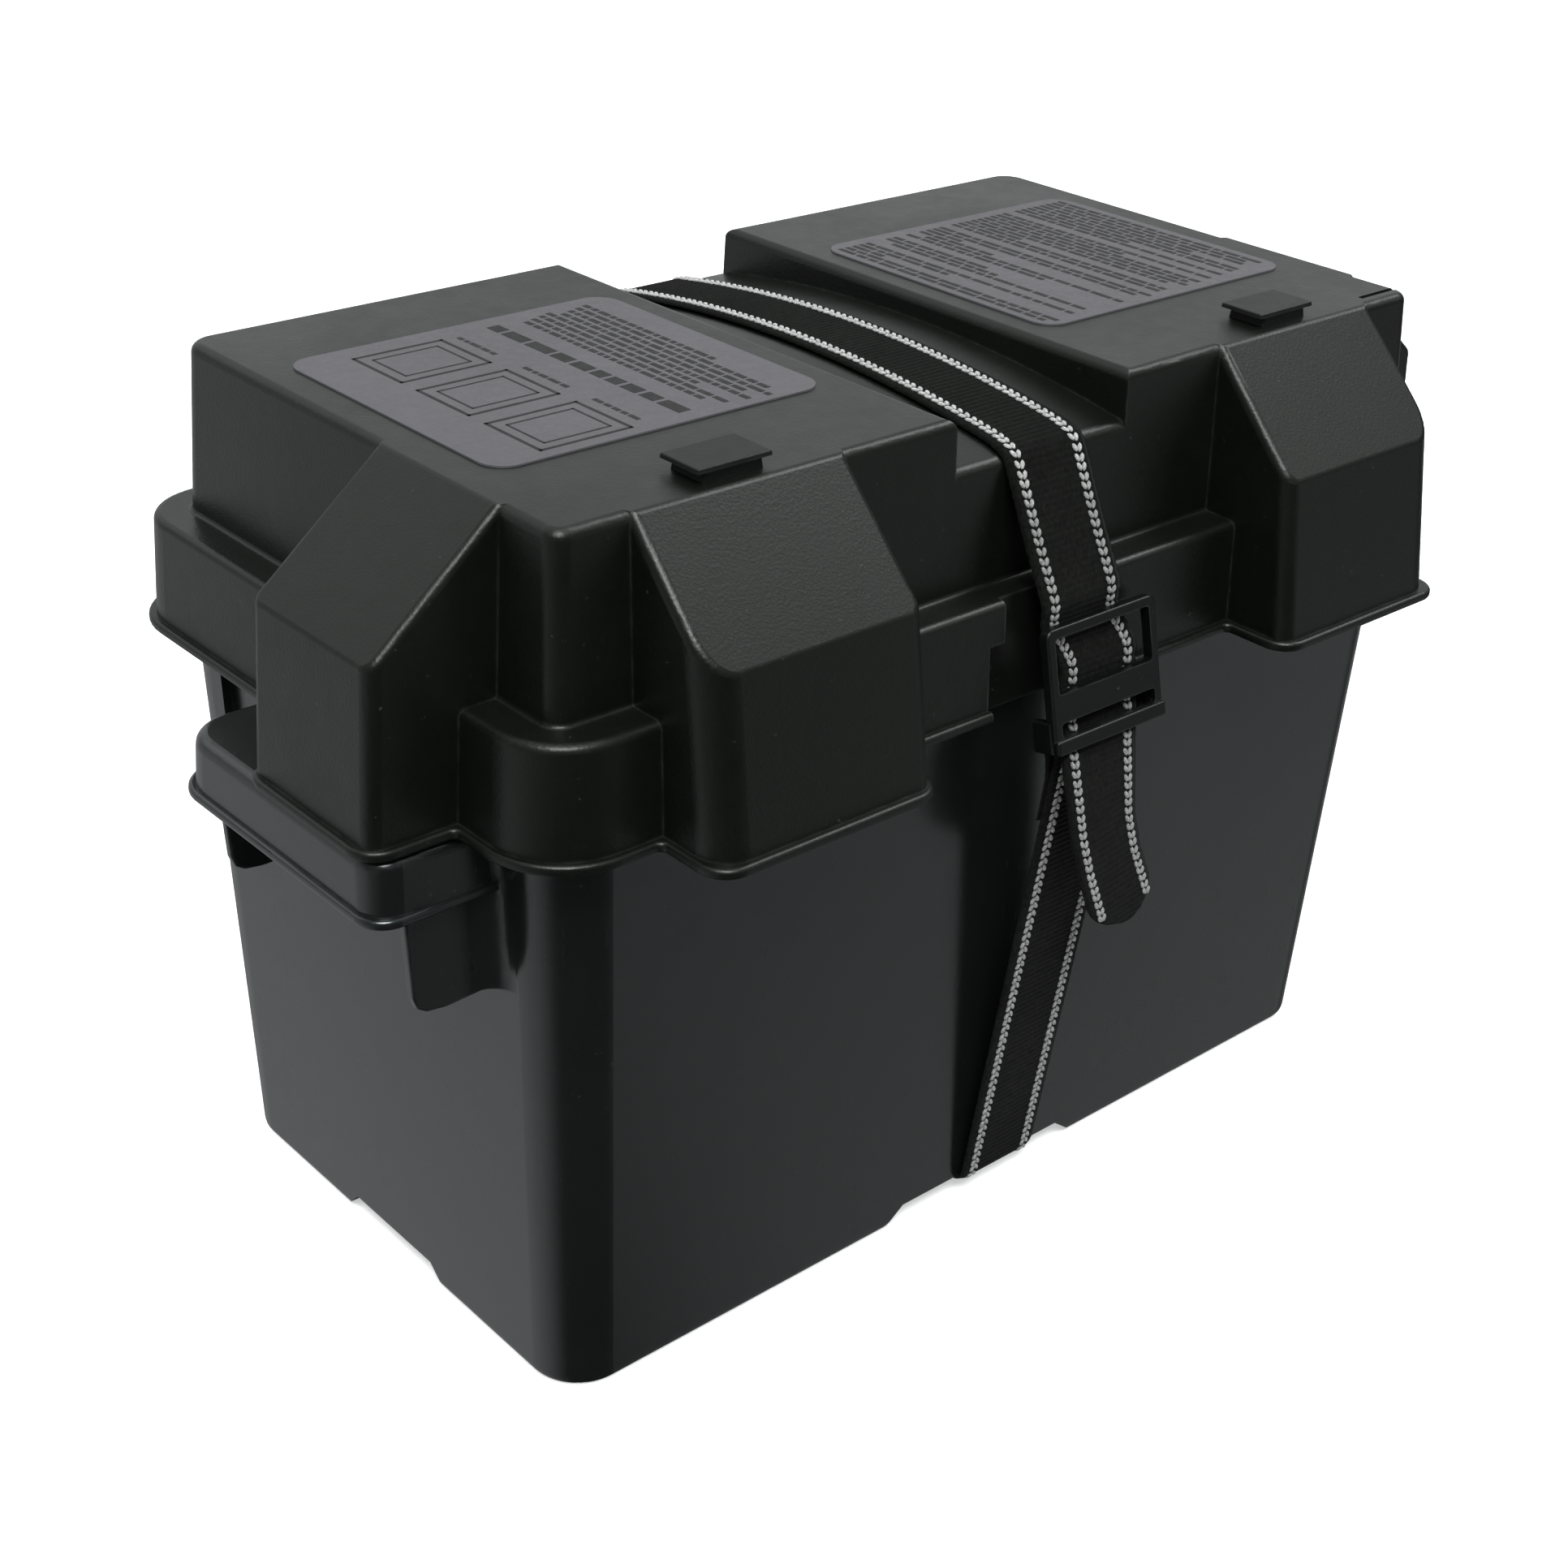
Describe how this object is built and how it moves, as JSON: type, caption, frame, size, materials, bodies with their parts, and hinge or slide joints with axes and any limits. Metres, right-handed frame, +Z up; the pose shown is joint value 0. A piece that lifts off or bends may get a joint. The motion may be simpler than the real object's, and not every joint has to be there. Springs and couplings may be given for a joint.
{
  "type": "battery box",
  "caption": "Lidded plastic box for a large battery, with raised cable housings on the lid, hand-grip end flanges, a lift-out spacer and a buckled webbing strap.",
  "frame": {"origin": "middle of the whole box seen from above, rim and housings included, on the plane of its four feet", "axes": "+X along the box's length, -Y towards the front with the strap buckle and cable housings, +Z up"},
  "size_m": [0.4362, 0.245, 0.2812],
  "materials": {
    "lid_plastic": "fine moulded grain, satin",
    "tub_plastic": "smooth moulded polypropylene, half gloss",
    "cleat_plastic": "smooth moulded",
    "label_film": "matt film, dark grey",
    "webbing": "ribbed woven polypropylene with two pale tracer cords",
    "buckle_plastic": "moulded acetal",
    "spacer_plastic": "moulded polypropylene"
  },
  "bodies": {
    "base": {"base_tub": "tub_plastic", "strap_lower_run": "webbing"},
    "lid": {"lid_shell": "lid_plastic", "lid_cleat_left": "cleat_plastic", "lid_cleat_right": "cleat_plastic", "label_panel_left": "label_film", "label_panel_right": "label_film", "strap_back_run": "webbing"},
    "strap": {"strap_upper_run": "webbing", "strap_tail": "webbing"},
    "buckle": {"strap_buckle": "buckle_plastic", "strap_anchor_loop": "webbing"},
    "spacer": {"battery_spacer": "spacer_plastic"}
  },
  "joints": [
    {"name": "lid_lift", "type": "slide", "parent": "base", "child": "lid", "axis": [0, 0, 1], "range_m": [0, 0.2]},
    {"name": "strap_flip", "type": "hinge", "parent": "lid", "child": "strap", "pos_m": [0.002, 0.1027, 0.2627], "axis": [-1, 0, 0], "range_deg": [0, 115]},
    {"name": "buckle_tilt", "type": "hinge", "parent": "base", "child": "buckle", "pos_m": [0.0078, -0.10362, 0.1793], "axis": [1, 0, 0], "range_deg": [0, 25]},
    {"name": "spacer_lift", "type": "slide", "parent": "base", "child": "spacer", "axis": [0, 0, 1], "range_m": [0, 0.06]}
  ]
}
